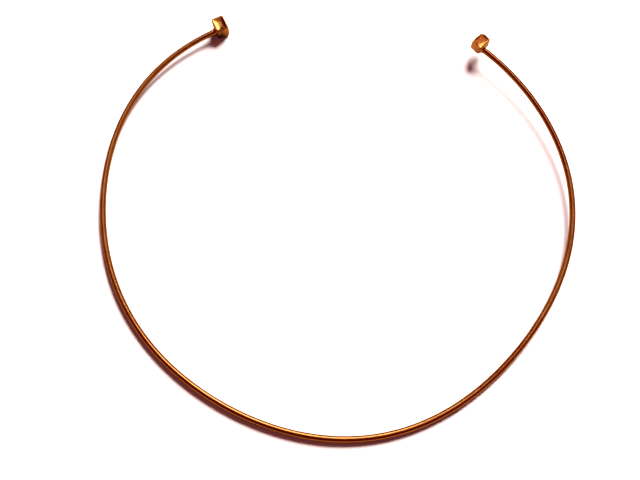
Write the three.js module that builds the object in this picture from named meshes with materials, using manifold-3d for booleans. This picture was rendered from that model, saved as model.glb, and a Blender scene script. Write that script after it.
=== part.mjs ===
// Gold torc: one plain round rod bent by hand into an open hoop, with a small cube-like block on each end.
// Units are millimetres and +Z is up. The torc lies flat on the plane Z = 0: the front of the hoop and the
// underside of the left block touch it, and the two ends spring up from it a little, the right one more.
// The mouth of the hoop opens towards +Y. The group is centred on X = 0, Y = 0 by its own outer box.
import * as THREE from 'three';
import * as BufferGeometryUtils from 'three/addons/utils/BufferGeometryUtils.js';
import { ConvexGeometry } from 'three/addons/geometries/ConvexGeometry.js';
import Module from 'manifold-3d';

const manifold = await Module();
manifold.setup();

// Rod and hoop. A sweep is an angle in degrees about the hoop's centre, clockwise from +X seen from above.
const ROD_RADIUS = 0.97;
const ROD_SIDES = 14;
const ROD_STEPS = 140;
const HOOP_RADIUS = 70.1;
const SWEEP_START = -46.45;
const SWEEP_END = 236.4;

// How far the hand-bent hoop strays from a circle: each term is a height in mm, how many times it swells
// around the hoop, and the sweep where it swells most.
const BENDS = [
  { height: 0.95, times: 2, peak: 19.2 },
  { height: 1.09, times: 3, peak: -26.9 },
  { height: 0.49, times: 5, peak: 5.6 },
];

// Spring of the two ends away from the plane the torc lies on.
const RIGHT_LIFT = 3.7;
const RIGHT_LIFT_FROM = 55;
const LEFT_LIFT = 1.5;
const LEFT_LIFT_FROM = 137;
const LIFT_CURVE = 1.12;

// End blocks. Each has its size (length along the rod, width across it, height), how it sits on the rod's end
// (turned about the vertical, rolled about the rod, shifted to the rod's left seen from above, and raised),
// and how deep each corner is nipped off. Corners run near then far from the rod, right then left, bottom then top.
const RIGHT_BLOCK = {
  size: [3.8, 4.8, 4.35],
  seat: { yaw: -4.8, roll: -2.6, shift: -1.0, rise: 0 },
  nips: [0.45, 0.55, 0.7, 0.5, 0.3, 0.9, 0.5, 0.5],
};
const LEFT_BLOCK = {
  size: [4.05, 5.2, 4.65],
  seat: { yaw: -2.8, roll: 0.6, shift: 0.95, rise: -0.12 },
  nips: [0.45, 0.55, 0.45, 0.5, 0.4, 0.45, 0.3, 0.45],
};
const EDGE_WEAR = 0.16;

// Shallow round hollow worn into the middle of a block's top, bottom and two sides. The far end stays flat.
const DISH_RADIUS = 1.5;
const DISH_DEPTH = 0.14;
const DISH_RINGS = 4;
const DISH_SIDES = 20;

// Flared collar of solder where a block meets the rod, and the clearance between the two pieces.
const JOINT_GAP = 0.3;
const COLLAR_LENGTH = 0.75;
const COLLAR_RADIUS = 1.35;
const COLLAR_ROOT = 0.6;
const COLLAR_SIDES = 24;
const COLLAR_RINGS = 5;

// Polished gold: deeper on the rod, a little paler on the blocks.
const ROD_COLOR = 0xc98a3c;
const ROD_ROUGHNESS = 0.16;
const BLOCK_COLOR = 0xd59a46;
const BLOCK_ROUGHNESS = 0.2;

const radians = THREE.MathUtils.degToRad;

function centreRadius(sweep) {
  let radius = HOOP_RADIUS;
  for (const bend of BENDS) {
    radius += bend.height * Math.cos(bend.times * radians(sweep - bend.peak));
  }
  return radius;
}

function lift(sweep) {
  const right = Math.max(0, (RIGHT_LIFT_FROM - sweep) / (RIGHT_LIFT_FROM - SWEEP_START));
  const left = Math.max(0, (sweep - LEFT_LIFT_FROM) / (SWEEP_END - LEFT_LIFT_FROM));
  return RIGHT_LIFT * right ** LIFT_CURVE + LEFT_LIFT * left ** LIFT_CURVE;
}

// Centreline of the rod, from its right end round the front to its left end.
class HoopCurve extends THREE.Curve {
  getPoint(t, target = new THREE.Vector3()) {
    const sweep = SWEEP_START + t * (SWEEP_END - SWEEP_START);
    const radius = centreRadius(sweep);
    const angle = radians(sweep);
    return target.set(radius * Math.cos(angle), -radius * Math.sin(angle), ROD_RADIUS + lift(sweep));
  }
}

function goldMaterial(color, roughness) {
  return new THREE.MeshStandardMaterial({ color, metalness: 1.0, roughness });
}

// A plain closed solid for the boolean library, from any closed three.js geometry.
function toSolid(geometry) {
  const bare = geometry.clone();
  bare.deleteAttribute('normal');
  bare.deleteAttribute('uv');
  const merged = BufferGeometryUtils.mergeVertices(bare);
  return new manifold.Manifold(new manifold.Mesh({
    numProp: 3,
    vertProperties: new Float32Array(merged.attributes.position.array),
    triVerts: new Uint32Array(merged.index.array),
  }));
}

function fromSolid(solid) {
  const mesh = solid.getMesh();
  const geometry = new THREE.BufferGeometry();
  geometry.setAttribute('position', new THREE.BufferAttribute(new Float32Array(mesh.vertProperties), 3));
  geometry.setIndex(new THREE.BufferAttribute(new Uint32Array(mesh.triVerts), 1));
  geometry.computeVertexNormals();
  return geometry;
}

function makeHoop(curve) {
  const section = new THREE.Shape();
  section.absarc(0, 0, ROD_RADIUS, 0, 2 * Math.PI, false);
  const geometry = new THREE.ExtrudeGeometry(section, {
    steps: ROD_STEPS,
    extrudePath: curve,
    curveSegments: ROD_SIDES / 2,
    bevelEnabled: false,
  });
  const hoop = new THREE.Mesh(geometry, goldMaterial(ROD_COLOR, ROD_ROUGHNESS));
  hoop.name = 'hoop';
  return hoop;
}

// Box centred on the origin whose edges are bevelled by EDGE_WEAR and whose eight corners are nipped off.
function makeNippedBox(block) {
  const half = block.size.map((length) => length / 2);
  const points = [];
  for (let corner = 0; corner < block.nips.length; corner += 1) {
    const sign = [corner & 1 ? 1 : -1, corner & 2 ? 1 : -1, corner & 4 ? 1 : -1];
    for (let along = 0; along < sign.length; along += 1) {
      for (const inset of [(along + 1) % 3, (along + 2) % 3]) {
        const point = [...half];
        point[along] -= block.nips[corner];
        point[inset] -= EDGE_WEAR;
        points.push(new THREE.Vector3(...point.map((distance, axis) => distance * sign[axis])));
      }
    }
  }
  return new ConvexGeometry(points);
}

// Lens that hollows a face: its lowest point is at the origin's depth DISH_DEPTH below the face, facing +Y.
function makeDishCutter() {
  const profile = [];
  for (let ring = 0; ring <= DISH_RINGS; ring += 1) {
    const share = ring / DISH_RINGS;
    profile.push(new THREE.Vector2(DISH_RADIUS * share, DISH_DEPTH * (share * share - 1)));
  }
  profile.push(new THREE.Vector2(DISH_RADIUS, DISH_DEPTH));
  profile.push(new THREE.Vector2(0, DISH_DEPTH));
  return new THREE.LatheGeometry(profile, DISH_SIDES);
}

// Collar: a round flare along +X that starts at the rod's thickness and ends inside the block.
function makeCollar() {
  const profile = [new THREE.Vector2(0, 0)];
  for (let ring = 0; ring <= COLLAR_RINGS; ring += 1) {
    const share = ring / COLLAR_RINGS;
    const radius = ROD_RADIUS + (COLLAR_RADIUS - ROD_RADIUS) * share * share;
    profile.push(new THREE.Vector2(radius, COLLAR_LENGTH * share));
  }
  profile.push(new THREE.Vector2(COLLAR_RADIUS, COLLAR_LENGTH + COLLAR_ROOT));
  profile.push(new THREE.Vector2(0, COLLAR_LENGTH + COLLAR_ROOT));
  const collar = new THREE.LatheGeometry(profile, COLLAR_SIDES);
  collar.rotateZ(-Math.PI / 2);
  return collar;
}

// One end block with its collar, along +X from the rod's end, dished on its two sides, top and bottom.
function makeTerminalGeometry(block) {
  let body = toSolid(makeNippedBox(block));
  for (let side = 0; side < 4; side += 1) {
    const cutter = makeDishCutter();
    cutter.translate(0, block.size[1 + side % 2] / 2, 0);
    cutter.rotateX(side * Math.PI / 2);
    body = body.subtract(toSolid(cutter));
  }
  const placed = fromSolid(body);
  placed.translate(block.size[0] / 2, 0, 0);
  placed.rotateX(radians(block.seat.roll));
  placed.rotateZ(radians(block.seat.yaw));
  placed.translate(COLLAR_LENGTH, block.seat.shift, block.seat.rise);
  return fromSolid(toSolid(placed).add(toSolid(makeCollar())));
}

// The group stands at the rod's end, and its own +X carries on in the rod's direction.
function makeTerminal(name, end, outward, block) {
  const mesh = new THREE.Mesh(makeTerminalGeometry(block), goldMaterial(BLOCK_COLOR, BLOCK_ROUGHNESS));
  mesh.name = name;
  const forward = outward.clone().normalize();
  const across = new THREE.Vector3(0, 0, 1).cross(forward).normalize();
  const upward = forward.clone().cross(across);
  const place = new THREE.Group();
  place.quaternion.setFromRotationMatrix(new THREE.Matrix4().makeBasis(forward, across, upward));
  place.position.copy(end).addScaledVector(forward, JOINT_GAP);
  place.add(mesh);
  return place;
}

const curve = new HoopCurve();
const torc = new THREE.Group();
torc.add(makeHoop(curve));
torc.add(makeTerminal('terminal_right', curve.getPoint(0), curve.getTangent(0).negate(), RIGHT_BLOCK));
torc.add(makeTerminal('terminal_left', curve.getPoint(1), curve.getTangent(1), LEFT_BLOCK));

// Centre the torc on its outer box, with its lowest point on Z = 0.
torc.updateMatrixWorld(true);
const outer = new THREE.Box3().setFromObject(torc, true);
const middle = outer.getCenter(new THREE.Vector3());
torc.position.set(-middle.x, -middle.y, -outer.min.z);
torc.updateMatrixWorld(true);

export default torc;
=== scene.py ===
import math

import bpy
import numpy as np
from mathutils import Matrix, Vector


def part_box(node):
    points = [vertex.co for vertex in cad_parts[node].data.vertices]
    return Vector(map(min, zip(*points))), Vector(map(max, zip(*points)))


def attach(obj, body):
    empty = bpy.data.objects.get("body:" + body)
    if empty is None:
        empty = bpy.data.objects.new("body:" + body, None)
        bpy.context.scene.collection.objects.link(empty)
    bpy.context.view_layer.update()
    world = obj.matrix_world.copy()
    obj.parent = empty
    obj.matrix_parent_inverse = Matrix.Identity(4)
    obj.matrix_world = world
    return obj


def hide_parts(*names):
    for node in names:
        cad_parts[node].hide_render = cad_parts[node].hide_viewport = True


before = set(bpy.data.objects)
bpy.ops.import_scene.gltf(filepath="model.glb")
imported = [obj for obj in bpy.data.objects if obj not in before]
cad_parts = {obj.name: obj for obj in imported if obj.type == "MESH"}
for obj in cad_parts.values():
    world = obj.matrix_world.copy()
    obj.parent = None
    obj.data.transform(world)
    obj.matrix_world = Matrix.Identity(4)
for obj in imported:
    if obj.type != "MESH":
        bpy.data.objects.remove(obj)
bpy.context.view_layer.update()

MM = 0.001
SEED = 20

# ---------------------------------------------------------------- driving sizes, as in the CAD source

CAD_ROD_RADIUS = 0.97
ROD_RADIUS = 0.95
HOOP_RADIUS = 70.1
SWEEP_START = -46.45
SWEEP_END = 236.4
BENDS = ((0.95, 2, 19.2), (1.09, 3, -26.9), (0.49, 5, 5.6))
RIGHT_LIFT = 3.7
RIGHT_LIFT_FROM = 55.0
LEFT_LIFT = 1.5
LEFT_LIFT_FROM = 137.0
LIFT_CURVE = 1.12
JOINT_GAP = 0.3
COLLAR_LENGTH = 0.75
EDGE_WEAR = 0.16
# Blocks: size, seat and nipped corners as in the CAD source. For the scene only, top_lean is the slope of the
# top face along and across the block, and beaten is how deep the dents are against the common depth.
RIGHT_BLOCK = {
    "size": (3.8, 4.8, 4.35), "yaw": -4.8, "roll": -2.6, "shift": -1.0, "rise": 0.0,
    "nips": (0.45, 0.55, 0.7, 0.5, 0.3, 0.9, 0.5, 0.5), "top_lean": (-0.05, 0.05), "beaten": 1.9,
}
LEFT_BLOCK = {
    "size": (4.05, 5.2, 4.65), "yaw": -2.8, "roll": 0.6, "shift": 0.95, "rise": -0.12,
    "nips": (0.45, 0.55, 0.45, 0.5, 0.4, 0.45, 0.3, 0.45), "top_lean": (0.0, 0.0), "beaten": 0.8,
}

# ---------------------------------------------------------------- detail of the visible meshes

ROD_RINGS = 1500
ROD_SIDES = 48
BLOCK_GRID = 72
BLOCK_SHARPNESS = 22.0
BLOCK_EDGE_BUNCHING = 0.86
COLLAR_RINGS = 40
COLLAR_SIDES = 72

# How far the rod strays from a true round, as shares of its radius, and how often, in mm along it.
ROD_SLACK = 0.012
SWELLS = ((0.010, 23.0), (0.006, 4.0))
OVAL = (0.010, 31.0)
OVAL_TURN = 60.0

# Marks on the rod: how many, their size in mm, and their depth as a share of the rod's radius.
FLATS = (700, 0.75, 0.010)
NICKS = (130, 0.16, 0.022)
MARK_LENGTHS = (1.2, 2.6)
MARK_WIDTHS = (0.6, 1.2)
MARK_DEPTHS = (0.3, 1.0)
MARK_REACH = 2.5

# Stretches rubbed dull: middle and reach as shares of the rod's length from the right end.
DULL_STRETCHES = ((0.21, 0.10), (0.86, 0.18))
DULL_ROUGHNESS = 0.22
DULL_FADE = 1.5

# Blocks: clearance inside the CAD faces, slight lean of each face, and the hollow with its rim, in mm.
FACE_INSET = 0.03
FACE_LEAN = 0.02
EDGE_SPREAD = (0.7, 1.5)
CORNER_SKEW = 0.15
HOLLOW_DEPTH = 0.20
HOLLOW_RIM = 0.30
HOLLOW_SQUARENESS = 3
HOLLOW_CURVE = 0.8
LEAST_FACING = 0.02
FARTHEST_REACH = 30

# Dents on a block: how many, their size in mm, and their depth as a share of the distance from its middle.
DENTS = ((14, 0.9, 0.012), (60, 0.28, 0.007), (50, 0.12, 0.005))
DENT_DEPTHS = (0.3, 1.0)

# Collar, in mm: how far it laps over the rod, how deep it runs into the block, its bead and its flare.
COLLAR_LAP = 0.35
COLLAR_ROOT = 0.5
COLLAR_INSET = 0.02
BEAD_HEIGHT = 0.05
BEAD_PLACE = 0.12
BEAD_WIDTH = 0.12
FLARE_START = -0.15
FLARE_SIZE = 0.62
FLARE_LIMIT = 1.15
FLARE_CURVE = 2.2
LOBE_TIMES = (2, 3, 5)
LOBE_SIZES = (0.02, 0.05)
LOBE_GROWTH = 1.3

# Where each piece's own coordinates start, so that no two pieces carry the same pattern.
COLLAR_SPACE = (20.0, 0, 0)
RIGHT_SPACE = (0, 0, 40.0)
LEFT_SPACE = (0, 0, 80.0)

# ---------------------------------------------------------------- centreline of the rod


def centreline(sweep):
    """Points of the rod's centreline in mm about the hoop's centre, for an array of sweeps in degrees."""
    angle = np.radians(sweep)
    radius = np.full_like(angle, HOOP_RADIUS)
    for height, times, peak in BENDS:
        radius += height * np.cos(times * (angle - math.radians(peak)))
    right = np.clip((RIGHT_LIFT_FROM - sweep) / (RIGHT_LIFT_FROM - SWEEP_START), 0, None)
    left = np.clip((sweep - LEFT_LIFT_FROM) / (SWEEP_END - LEFT_LIFT_FROM), 0, None)
    height = CAD_ROD_RADIUS + RIGHT_LIFT * right ** LIFT_CURVE + LEFT_LIFT * left ** LIFT_CURVE
    return np.stack([radius * np.cos(angle), -radius * np.sin(angle), height], -1)


def centre_offset():
    """Where the hoop's own centre lies in the CAD frame, in mm, read from the CAD hoop's box."""
    points = centreline(np.linspace(SWEEP_START, SWEEP_END, 4001))
    low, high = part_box("hoop")
    x = (low[0] + high[0]) / 2 / MM - (points[:, 0].min() + points[:, 0].max()) / 2
    y = low[1] / MM - (points[:, 1].min() - CAD_ROD_RADIUS)
    return np.array([x, y, low[2] / MM])


OFFSET = centre_offset()


def rod_path(count):
    """Centreline points in the CAD frame, in mm, evenly spaced, with the unit direction at each."""
    sweeps = np.linspace(SWEEP_START, SWEEP_END, 8 * count)
    points = centreline(sweeps) + OFFSET
    steps = np.linalg.norm(np.diff(points, axis=0), axis=1)
    travelled = np.concatenate([[0], np.cumsum(steps)])
    wanted = np.linspace(0, travelled[-1], count)
    path = np.stack([np.interp(wanted, travelled, points[:, axis]) for axis in range(3)], -1)
    direction = np.gradient(path, axis=0)
    direction /= np.linalg.norm(direction, axis=1)[:, None]
    return path, direction, wanted


# ---------------------------------------------------------------- mesh helpers


def grid_faces(rows, columns, wrap):
    """Quads of a grid of points, wrapped round across its columns or not."""
    faces = []
    last = columns if wrap else columns - 1
    for row in range(rows - 1):
        for column in range(last):
            after = (column + 1) % columns
            faces.append((
                row * columns + column,
                row * columns + after,
                (row + 1) * columns + after,
                (row + 1) * columns + column,
            ))
    return faces


def make_object(name, points, faces, material):
    """A smooth-shaded mesh object from points in mm in the CAD frame."""
    mesh = bpy.data.meshes.new(name)
    mesh.from_pydata([tuple(point) for point in np.asarray(points) * MM], [], faces)
    mesh.validate()
    mesh.polygons.foreach_set("use_smooth", [True] * len(mesh.polygons))
    mesh.materials.append(material)
    obj = bpy.data.objects.new(name, mesh)
    bpy.context.scene.collection.objects.link(obj)
    return obj


def store_vectors(obj, name, vectors):
    """Keeps a vector per point on the mesh, for its material to read."""
    attribute = obj.data.attributes.new(name, "FLOAT_VECTOR", "POINT")
    attribute.data.foreach_set("vector", np.asarray(vectors, dtype=np.float32).ravel())


def store_values(obj, name, values):
    """Keeps a number per point on the mesh, for its material to read."""
    attribute = obj.data.attributes.new(name, "FLOAT", "POINT")
    attribute.data.foreach_set("value", np.asarray(values, dtype=np.float32).ravel())


def smooth_noise(length, spacing, rng):
    """Smooth random curve between about -1 and 1 over a length, with a knot every so often."""
    knots = int(length / spacing) + 4
    values = rng.uniform(-1, 1, knots)

    def sample(at):
        place = np.asarray(at) / spacing + 1
        index = np.clip(place.astype(int), 1, knots - 3)
        share = place - index
        before, first, second, after = (values[index + step] for step in (-1, 0, 1, 2))
        cubic = second - before + share * (2 * before - 5 * first + 4 * second - after)
        cubic = cubic + share * share * (3 * (first - second) + after - before)
        return first + 0.5 * share * cubic

    return sample


# ---------------------------------------------------------------- materials


class Nodes:
    """Small helper that adds and joins shader nodes."""

    def __init__(self, tree):
        self.tree = tree

    def add(self, kind, values=None, **settings):
        node = self.tree.nodes.new(kind)
        for key, value in settings.items():
            setattr(node, key, value)
        for key, value in (values or {}).items():
            if isinstance(value, bpy.types.NodeSocket):
                self.tree.links.new(value, node.inputs[key])
            else:
                node.inputs[key].default_value = value
        return node

    def noise(self, vector, scale, detail=3.0, roughness=0.5):
        node = self.add("ShaderNodeTexNoise", {
            "Vector": vector, "Scale": scale, "Detail": detail, "Roughness": roughness,
        })
        return node.outputs["Fac"]

    def stretch(self, vector, scale):
        node = self.add("ShaderNodeMapping", {"Vector": vector, "Scale": scale})
        return node.outputs["Vector"]

    def remap(self, value, low, high, to_low, to_high):
        node = self.add("ShaderNodeMapRange", {
            "Value": value, "From Min": low, "From Max": high, "To Min": to_low, "To Max": to_high,
        }, clamp=True)
        return node.outputs["Result"]

    def math(self, operation, first, second):
        node = self.add("ShaderNodeMath", {0: first, 1: second}, operation=operation)
        return node.outputs["Value"]

    def mix(self, factor, first, second):
        node = self.add("ShaderNodeMix", data_type="RGBA")
        for socket, value in zip((node.inputs[0], node.inputs[6], node.inputs[7]), (factor, first, second)):
            if isinstance(value, bpy.types.NodeSocket):
                self.tree.links.new(value, socket)
            else:
                socket.default_value = value
        return node.outputs[2]


def new_material(name):
    material = bpy.data.materials.new(name)
    material.use_nodes = True
    material.node_tree.nodes.clear()
    return material, Nodes(material.node_tree)


GOLD_DEEP = (0.80, 0.33, 0.07, 1)
GOLD_MAIN = (0.92, 0.45, 0.13, 1)
GOLD_PALE = (0.98, 0.60, 0.22, 1)

# Noise scales are per mm of the piece's own coordinates. Bump heights are in metres.
CLOUD_SCALE = 0.09
FINE_SCALE = 1.4
FINE_SHARE = 0.5
BLOTCH_SCALE = 0.7
LUMP_HEIGHT = 0.00006
SCRATCH_HEIGHT = 0.00001
ROD_SCRATCHES = (0.5, 9.0, 9.0)
ROD_ROUGHNESS = (0.10, 0.26)
BLOCK_SCRATCHES = (6.0, 6.0, 1.5)
BLOCK_ROUGHNESS = (0.10, 0.24)


def gold_material(name, scratch_scale, roughness_range):
    """Worn polished gold. Reads the piece's own coordinates, in mm, from the attribute piece_space, and what
    rubbing adds to the roughness from the attribute dullness."""
    material, nodes = new_material(name)
    space = nodes.add("ShaderNodeAttribute", attribute_name="piece_space").outputs["Vector"]
    cloud = nodes.noise(space, CLOUD_SCALE, 4.0, 0.6)
    fine = nodes.noise(space, FINE_SCALE, 4.0, 0.65)
    tone = nodes.mix(nodes.remap(cloud, 0.35, 0.65, 0, 1), GOLD_DEEP, GOLD_MAIN)
    tone = nodes.mix(nodes.remap(fine, 0.5, 0.8, 0, FINE_SHARE), tone, GOLD_PALE)
    scratch = nodes.noise(nodes.stretch(space, scratch_scale), 1.0, 5.0, 0.7)
    blotch = nodes.noise(space, BLOTCH_SCALE, 3.0, 0.5)
    polish = nodes.remap(nodes.math("ADD", scratch, blotch), 0.7, 1.3, *roughness_range)
    dull = nodes.add("ShaderNodeAttribute", attribute_name="dullness").outputs["Fac"]
    roughness = nodes.math("ADD", polish, dull)
    lumps = nodes.add("ShaderNodeBump", {"Height": blotch, "Strength": 0.25, "Distance": LUMP_HEIGHT})
    lines = nodes.add("ShaderNodeBump", {
        "Height": scratch, "Strength": 0.2, "Distance": SCRATCH_HEIGHT, "Normal": lumps.outputs["Normal"],
    })
    shader = nodes.add("ShaderNodeBsdfPrincipled", {
        "Base Color": tone, "Metallic": 1.0, "Roughness": roughness, "Normal": lines.outputs["Normal"],
    })
    nodes.add("ShaderNodeOutputMaterial", {"Surface": shader.outputs["BSDF"]})
    return material


FLOOR_DARK = (0.83, 0.82, 0.81, 1)
FLOOR_PALE = (0.87, 0.86, 0.85, 1)
# Colour the paper takes only in the gold's mirror: painted shade in the reflection, dimmer and warmer than
# the lit paper.
FLOOR_PAINTED_DIM_IN_GOLD = (0.19, 0.125, 0.075, 1)
FIBRE_SCALE = 900.0
FIBRE_HEIGHT = 0.00005


def floor_material():
    """White paper, evenly lit to pure white. For glossy rays its colour is swapped for a painted dim, warm
    tone, so the gold mirrors painted shade instead of the lit paper.
    """
    material, nodes = new_material("white_paper")
    space = nodes.add("ShaderNodeTexCoord").outputs["Object"]
    fibre = nodes.noise(space, FIBRE_SCALE, 4.0, 0.6)
    tint = nodes.mix(nodes.remap(fibre, 0.3, 0.7, 0, 1), FLOOR_DARK, FLOOR_PALE)
    # Painted shade: glossy rays see the paper in the dim, warm colour above instead of its lit white.
    mirrored = nodes.add("ShaderNodeLightPath").outputs["Is Glossy Ray"]
    tint = nodes.mix(mirrored, tint, FLOOR_PAINTED_DIM_IN_GOLD)
    bump = nodes.add("ShaderNodeBump", {"Height": fibre, "Strength": 0.1, "Distance": FIBRE_HEIGHT})
    shader = nodes.add("ShaderNodeBsdfPrincipled", {
        "Base Color": tint, "Roughness": 0.9, "Specular IOR Level": 0.1, "Normal": bump.outputs["Normal"],
    })
    nodes.add("ShaderNodeOutputMaterial", {"Surface": shader.outputs["BSDF"]})
    return material


# ---------------------------------------------------------------- the rod


def make_hoop(material):
    rng = np.random.default_rng(SEED)
    path, direction, along = rod_path(ROD_RINGS)
    across = np.cross(direction, [0.0, 0.0, 1.0])
    across /= np.linalg.norm(across, axis=1)[:, None]
    upward = np.cross(across, direction)
    angle = np.linspace(0, 2 * math.pi, ROD_SIDES, endpoint=False)

    length = along[-1]
    swell = sum(size * smooth_noise(length, spacing, rng)(along) for size, spacing in SWELLS)
    oval_size, oval_spacing = OVAL
    oval = oval_size * smooth_noise(length, oval_spacing, rng)(along)
    lean = math.pi * smooth_noise(length, OVAL_TURN, rng)(along)
    profile = 1 - ROD_SLACK + swell[:, None] + oval[:, None] * np.cos(2 * (angle[None, :] - lean[:, None]))
    profile = profile + hammer_marks(along, angle, rng)
    profile = np.minimum(profile, 1.0)

    sideways = np.cos(angle)[None, :, None] * across[:, None, :]
    spoke = sideways + np.sin(angle)[None, :, None] * upward[:, None, :]
    points = path[:, None, :] + ROD_RADIUS * profile[:, :, None] * spoke
    points = points.reshape(-1, 3)
    faces = grid_faces(ROD_RINGS, ROD_SIDES, True)
    faces.append(tuple(reversed(range(ROD_SIDES))))
    faces.append(tuple(range((ROD_RINGS - 1) * ROD_SIDES, ROD_RINGS * ROD_SIDES)))
    hoop = make_object("gold_rod", points, faces, material)
    space = np.stack(np.broadcast_arrays(
        along[:, None], ROD_RADIUS * np.cos(angle)[None, :], ROD_RADIUS * np.sin(angle)[None, :],
    ), -1)
    store_vectors(hoop, "piece_space", space.reshape(-1, 3))
    store_values(hoop, "dullness", np.repeat(rod_dullness(along / length), ROD_SIDES))
    return hoop


def rod_dullness(share):
    """Roughness added where the rod has been rubbed dull, by the share of its length from the right end."""
    dull = np.zeros_like(share)
    for middle, reach in DULL_STRETCHES:
        fade = DULL_FADE - DULL_FADE * np.abs(share - middle) / reach
        dull = np.maximum(dull, np.clip(fade, 0, 1))
    return DULL_ROUGHNESS * dull


def hammer_marks(along, angle, rng):
    """Shallow flats and nicks left by planishing and by wear, as shares of the rod's radius, all inwards."""
    marks = np.zeros((len(along), len(angle)))
    around = ROD_RADIUS * angle
    girth = 2 * math.pi * ROD_RADIUS
    for count, width, depth in (FLATS, NICKS):
        places = rng.uniform(along[0], along[-1], count)
        sides = rng.uniform(0, girth, count)
        lengths = width * rng.uniform(*MARK_LENGTHS, count)
        widths = width * rng.uniform(*MARK_WIDTHS, count)
        depths = depth * rng.uniform(*MARK_DEPTHS, count)
        for place, side, long, wide, deep in zip(places, sides, lengths, widths, depths):
            near = np.abs(along - place) < MARK_REACH * long
            apart = np.abs(around - side)
            apart = np.minimum(apart, girth - apart)
            lengthways = np.exp(-((along[near] - place) / long) ** 2)
            fall = lengthways[:, None] * np.exp(-(apart / wide) ** 2)[None, :]
            marks[near] -= deep * fall
    return marks


# ---------------------------------------------------------------- the end blocks


def cube_sphere(count):
    """Directions out to a cube's surface, as one closed quad mesh, denser towards the cube's edges."""
    ticks = np.sin(np.linspace(-0.5, 0.5, count + 1) * math.pi * BLOCK_EDGE_BUNCHING)
    ticks = ticks / ticks[-1]
    lookup = {}
    points = []
    faces = []
    for axis in range(3):
        for sign in (-1, 1):
            index = np.zeros((count + 1, count + 1), dtype=int)
            for row in range(count + 1):
                for column in range(count + 1):
                    point = [0.0, 0.0, 0.0]
                    point[axis] = float(sign)
                    point[(axis + 1) % 3] = ticks[row]
                    point[(axis + 2) % 3] = ticks[column]
                    key = tuple(round(value, 6) for value in point)
                    if key not in lookup:
                        lookup[key] = len(points)
                        points.append(point)
                    index[row, column] = lookup[key]
            for row in range(count):
                for column in range(count):
                    quad = (
                        index[row, column], index[row + 1, column],
                        index[row + 1, column + 1], index[row, column + 1],
                    )
                    faces.append(quad if sign > 0 else tuple(reversed(quad)))
    return np.array(points), faces


def block_planes(block, rng):
    """Planes that bound a block: (normal, distance) for its faces, worn edges and nipped corners."""
    half = np.array(block["size"]) / 2
    planes = []
    for axis in range(3):
        for sign in (-1, 1):
            normal = np.zeros(3)
            normal[axis] = sign
            tilt = rng.uniform(-FACE_LEAN, FACE_LEAN, 3)
            tilt[axis] = 0
            drop = FACE_INSET
            if axis == 2 and sign == 1:
                tilt[:2] = block["top_lean"]
                drop += np.abs(tilt[:2]) @ half[:2]
            lean = normal + tilt
            lean /= np.linalg.norm(lean)
            planes.append((lean, half[axis] - drop))
    for axis in range(3):
        for first in (-1, 1):
            for second in (-1, 1):
                normal = np.zeros(3)
                normal[(axis + 1) % 3] = first
                normal[(axis + 2) % 3] = second
                reach = half[(axis + 1) % 3] + half[(axis + 2) % 3] - EDGE_WEAR * rng.uniform(*EDGE_SPREAD)
                planes.append((normal / math.sqrt(2), reach / math.sqrt(2)))
    for corner, nip in enumerate(block["nips"]):
        sign = np.array([1 if corner & bit else -1 for bit in (1, 2, 4)])
        skew = sign + rng.uniform(-CORNER_SKEW, CORNER_SKEW, 3)
        reach = half.sum() - nip - 2 * EDGE_WEAR
        planes.append((skew / np.linalg.norm(skew), reach / math.sqrt(3)))
    return planes


def dish(first, second, wide, high):
    """Depth of the hollow worn into a face, which leaves a narrow rim round it."""
    inside = np.clip(1 - np.abs(first / wide) ** HOLLOW_SQUARENESS, 0, 1)
    inside = inside * np.clip(1 - np.abs(second / high) ** HOLLOW_SQUARENESS, 0, 1)
    return HOLLOW_DEPTH * inside ** HOLLOW_CURVE


def make_block(block, rng):
    """Points and faces of a block about its own middle: planes blended by a soft minimum, then dented."""
    directions, faces = cube_sphere(BLOCK_GRID)
    half = np.array(block["size"]) / 2
    directions = directions * half
    directions /= np.linalg.norm(directions, axis=1)[:, None]
    total = np.zeros(len(directions))
    for index, (normal, distance) in enumerate(block_planes(block, rng)):
        facing = directions @ normal
        safe = np.where(facing > LEAST_FACING, facing, LEAST_FACING)
        reach = distance / safe
        axis = index // 2
        if axis in (1, 2):
            hit = directions * reach[:, None]
            first = (axis + 1) % 3
            second = (axis + 2) % 3
            hollow = dish(hit[:, first], hit[:, second], half[first] - HOLLOW_RIM, half[second] - HOLLOW_RIM)
            reach = (distance - hollow) / safe
        closeness = np.exp(-BLOCK_SHARPNESS * np.minimum(reach, FARTHEST_REACH))
        total += np.where(facing > LEAST_FACING, closeness, 0)
    radius = -np.log(total) / BLOCK_SHARPNESS
    points = directions * radius[:, None]
    points = points * (1 - block["beaten"] * block_dents(points, rng))[:, None]
    return points, faces


def make_terminal(name, node, at_start, block, material, seed):
    """A block with its collar, set on the rod's end, in place of the CAD node."""
    rng = np.random.default_rng(seed)
    local, faces = make_block(block, rng)
    collar, collar_faces = make_collar(rng)
    roll = Matrix.Rotation(math.radians(block["roll"]), 3, "X")
    yaw = Matrix.Rotation(math.radians(block["yaw"]), 3, "Z")
    turn = np.array(yaw @ roll)
    half_length = block["size"][0] / 2
    points = (local + [half_length, 0, 0]) @ turn.T + [COLLAR_LENGTH, block["shift"], block["rise"]]
    base = len(points)
    points = np.concatenate([points, collar])
    local = np.concatenate([local, collar + COLLAR_SPACE])
    faces = faces + [tuple(base + index for index in face) for face in collar_faces]

    path, direction, _ = rod_path(ROD_RINGS)
    end = path[0] if at_start else path[-1]
    forward = -direction[0] if at_start else direction[-1]
    across = np.cross([0, 0, 1.0], forward)
    across /= np.linalg.norm(across)
    upward = np.cross(forward, across)
    basis = np.stack([forward, across, upward])
    world = end + JOINT_GAP * forward + points @ basis
    terminal = make_object(name, world, faces, material)
    store_vectors(terminal, "piece_space", local + (RIGHT_SPACE if at_start else LEFT_SPACE))
    store_values(terminal, "dullness", np.zeros(len(world)))
    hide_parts(node)
    return terminal


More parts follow.
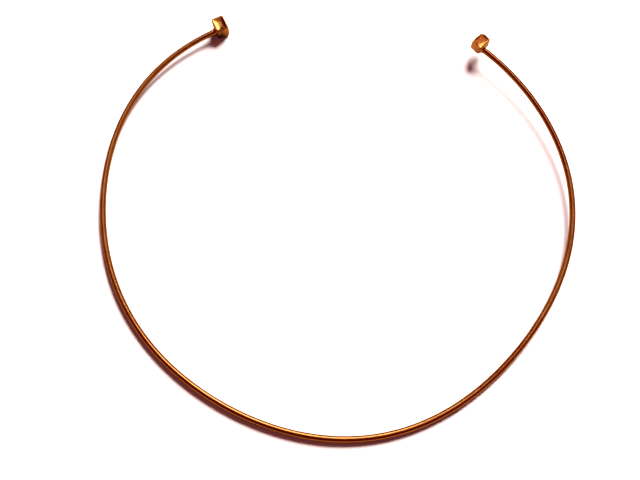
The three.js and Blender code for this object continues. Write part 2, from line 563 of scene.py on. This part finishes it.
def block_dents(points, rng):
    """Shallow dents of hand work and wear, as shares of the distance from the block's middle."""
    dents = np.zeros(len(points))
    for count, width, depth in DENTS:
        picks = rng.integers(0, len(points), count)
        for pick, share in zip(picks, rng.uniform(*DENT_DEPTHS, count)):
            apart = np.linalg.norm(points - points[pick], axis=1)
            dents += depth * share * np.exp(-(apart / width) ** 2)
    return dents


def make_collar(rng):
    """Flare of solder from the rod, inside the gap and a little over the rod's end, to inside the block."""
    lobes = [(times, rng.uniform(0, 2 * math.pi), rng.uniform(*LOBE_SIZES)) for times in LOBE_TIMES]
    angle = np.linspace(0, 2 * math.pi, COLLAR_SIDES, endpoint=False)
    uneven = sum(size * np.cos(times * angle + phase) for times, phase, size in lobes)
    start = -JOINT_GAP - COLLAR_LAP
    finish = COLLAR_LENGTH + COLLAR_ROOT
    rows = []
    for ring in range(COLLAR_RINGS):
        share = ring / (COLLAR_RINGS - 1)
        x = start + share * (finish - start)
        bead = BEAD_HEIGHT * math.exp(-((x - start - BEAD_PLACE) / BEAD_WIDTH) ** 2)
        flare = max(0.0, (x - FLARE_START) / (COLLAR_LENGTH - FLARE_START))
        radius = ROD_RADIUS - COLLAR_INSET + bead + FLARE_SIZE * min(flare, FLARE_LIMIT) ** FLARE_CURVE
        radius = radius * (1 + uneven * min(1.0, share * LOBE_GROWTH))
        rows.append(np.stack([np.full_like(angle, x), radius * np.cos(angle), radius * np.sin(angle)], -1))
    points = np.concatenate(rows)
    faces = grid_faces(COLLAR_RINGS, COLLAR_SIDES, True)
    faces = [tuple(reversed(face)) for face in faces]
    faces.append(tuple(range(COLLAR_SIDES)))
    faces.append(tuple(reversed(range((COLLAR_RINGS - 1) * COLLAR_SIDES, COLLAR_RINGS * COLLAR_SIDES))))
    return points, faces


# ---------------------------------------------------------------- floor, light and camera

# Floor size in metres, camera aim and distance in mm, angles in degrees. AMBIENT lights the floor; the gold
# mirrors ROOM with the two glows, each full within its inner angle and gone at its outer one.
FLOOR_SIZE = 6.0
KEY_STRENGTH = 16.0
KEY_WIDTH = 36.0
KEY_COLOR = (1.0, 0.86, 0.84)
KEY_AZIMUTH = 66.0
KEY_ELEVATION = 34.0
AMBIENT = (0.210, 0.046, 0.042, 1)
ROOM = (0.085, 0.006, 0.003, 1)
WINDOW = {
    "azimuth": 82.0, "elevation": 47.0, "inner": 9.0, "outer": 16.0, "color": (3.6, 3.4, 3.2, 1),
}
CEILING = {
    "azimuth": 56.0, "elevation": 69.0, "inner": 5.0, "outer": 21.0, "color": (0.68, 0.34, 0.23, 1),
}
BACKDROP = (1.0, 1.0, 1.0, 1)
CAMERA_AIM = (-5.1, -8.1, 0.0)
CAMERA_ELEVATION = 70.0
CAMERA_DISTANCE = 264.0
CAMERA_WIDTH = 39.97


def make_floor():
    half = FLOOR_SIZE / 2 / MM
    corners = [(-half, -half, 0), (half, -half, 0), (half, half, 0), (-half, half, 0)]
    floor = make_object("floor", corners, [(0, 1, 2, 3)], floor_material())


def towards(azimuth, elevation):
    """Unit vector towards a place in the room, from two angles in degrees."""
    azimuth, elevation = math.radians(azimuth), math.radians(elevation)
    return Vector((
        math.cos(elevation) * math.cos(azimuth), math.cos(elevation) * math.sin(azimuth), math.sin(elevation),
    ))


def make_key_light():
    light = bpy.data.lights.new("key_light", "SUN")
    light.energy = KEY_STRENGTH
    light.color = KEY_COLOR
    light.angle = math.radians(KEY_WIDTH)
    lamp = bpy.data.objects.new("key_light", light)
    lamp.rotation_euler = towards(KEY_AZIMUTH, KEY_ELEVATION).to_track_quat("Z", "Y").to_euler()
    lamp.visible_glossy = False
    bpy.context.scene.collection.objects.link(lamp)


def add_glow(nodes, direction, below, glow):
    """Adds a soft round glow, such as a window or a lit ceiling, to the colour of the room."""
    facing = nodes.add("ShaderNodeVectorMath", {
        0: direction, 1: towards(glow["azimuth"], glow["elevation"]),
    }, operation="DOT_PRODUCT").outputs["Value"]
    outer = math.cos(math.radians(glow["outer"]))
    inner = math.cos(math.radians(glow["inner"]))
    return nodes.mix(nodes.remap(facing, outer, inner, 0, 1), below, glow["color"])


def make_world():
    """White behind the object, a plain soft fill for the floor, and a darker room with glows for the gold."""
    world = bpy.data.worlds.new("studio")
    world.use_nodes = True
    world.node_tree.nodes.clear()
    nodes = Nodes(world.node_tree)
    direction = nodes.add("ShaderNodeTexCoord").outputs["Generated"]
    room = add_glow(nodes, direction, ROOM, CEILING)
    room = add_glow(nodes, direction, room, WINDOW)
    ray = nodes.add("ShaderNodeLightPath")
    light = nodes.mix(ray.outputs["Is Glossy Ray"], AMBIENT, room)
    light = nodes.mix(ray.outputs["Is Camera Ray"], light, BACKDROP)
    background = nodes.add("ShaderNodeBackground", {"Color": light, "Strength": 1.0})
    nodes.add("ShaderNodeOutputWorld", {"Surface": background.outputs[0]})
    bpy.context.scene.world = world


def make_camera():
    data = bpy.data.cameras.new("camera")
    data.sensor_fit = "HORIZONTAL"
    data.angle = math.radians(CAMERA_WIDTH)
    data.clip_start = 0.01
    camera = bpy.data.objects.new("camera", data)
    elevation = math.radians(CAMERA_ELEVATION)
    back = Vector((0, -math.cos(elevation), math.sin(elevation)))
    camera.location = (Vector(CAMERA_AIM) + CAMERA_DISTANCE * back) * MM
    camera.rotation_euler = back.to_track_quat("Z", "Y").to_euler()
    bpy.context.scene.collection.objects.link(camera)
    bpy.context.scene.camera = camera


# ---------------------------------------------------------------- build

rod_gold = gold_material("rod_gold", ROD_SCRATCHES, ROD_ROUGHNESS)
block_gold = gold_material("block_gold", BLOCK_SCRATCHES, BLOCK_ROUGHNESS)

hoop = make_hoop(rod_gold)
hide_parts("hoop")
right = make_terminal("gold_block_right", "terminal_right", True, RIGHT_BLOCK, block_gold, SEED + 1)
left = make_terminal("gold_block_left", "terminal_left", False, LEFT_BLOCK, block_gold, SEED + 2)
for piece, slot in ((hoop, "gold_rod"), (right, "gold_terminals"), (left, "gold_terminals")):
    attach(piece, "root")

make_floor()
make_key_light()
make_world()
make_camera()
bpy.context.scene.view_settings.view_transform = "Standard"
bpy.context.scene.view_settings.look = "None"
bpy.context.scene.cycles.caustics_reflective = False
